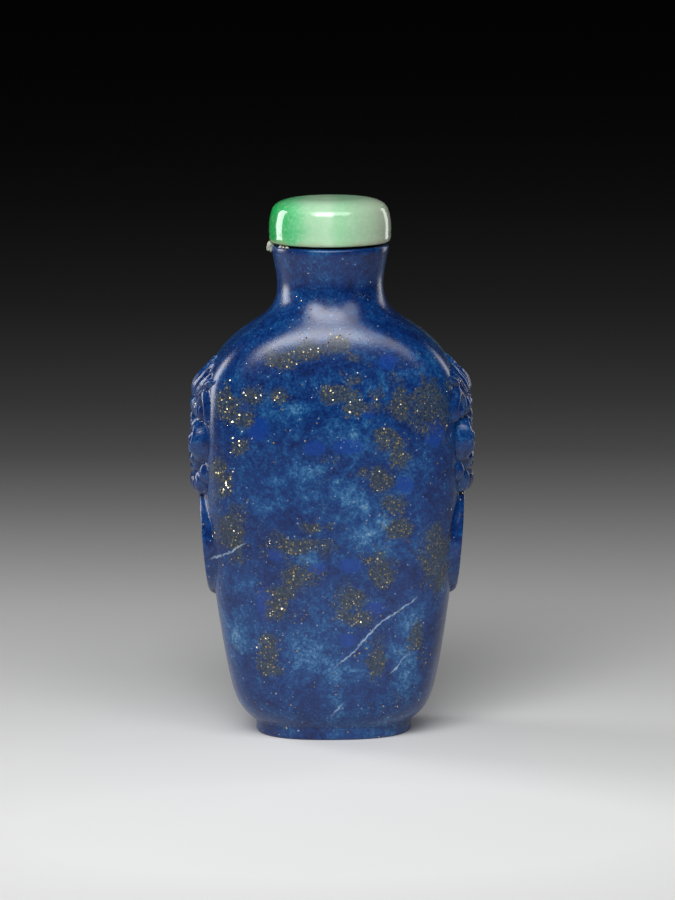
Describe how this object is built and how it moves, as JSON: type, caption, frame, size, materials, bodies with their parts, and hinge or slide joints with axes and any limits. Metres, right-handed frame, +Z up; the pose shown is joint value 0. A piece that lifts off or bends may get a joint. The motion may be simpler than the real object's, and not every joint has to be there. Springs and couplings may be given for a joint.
{
  "type": "snuff bottle",
  "caption": "Flattened hardstone snuff bottle, hollowed through a round neck, with a carved animal mask and mock ring on each narrow side and a lift-off domed stopper.",
  "frame": {"origin": "centre of the foot's underside, on the surface that the bottle stands on", "axes": "+Z up through the neck, X across the broad faces towards the masks, Y through the flattened thickness, with the front at -Y"},
  "size_m": [0.0356, 0.021, 0.067],
  "materials": {
    "lapis_lazuli": "polished",
    "jadeite": "polished"
  },
  "bodies": {
    "root": {"bottle": "lapis_lazuli", "stopper": "jadeite"}
  },
  "joints": []
}
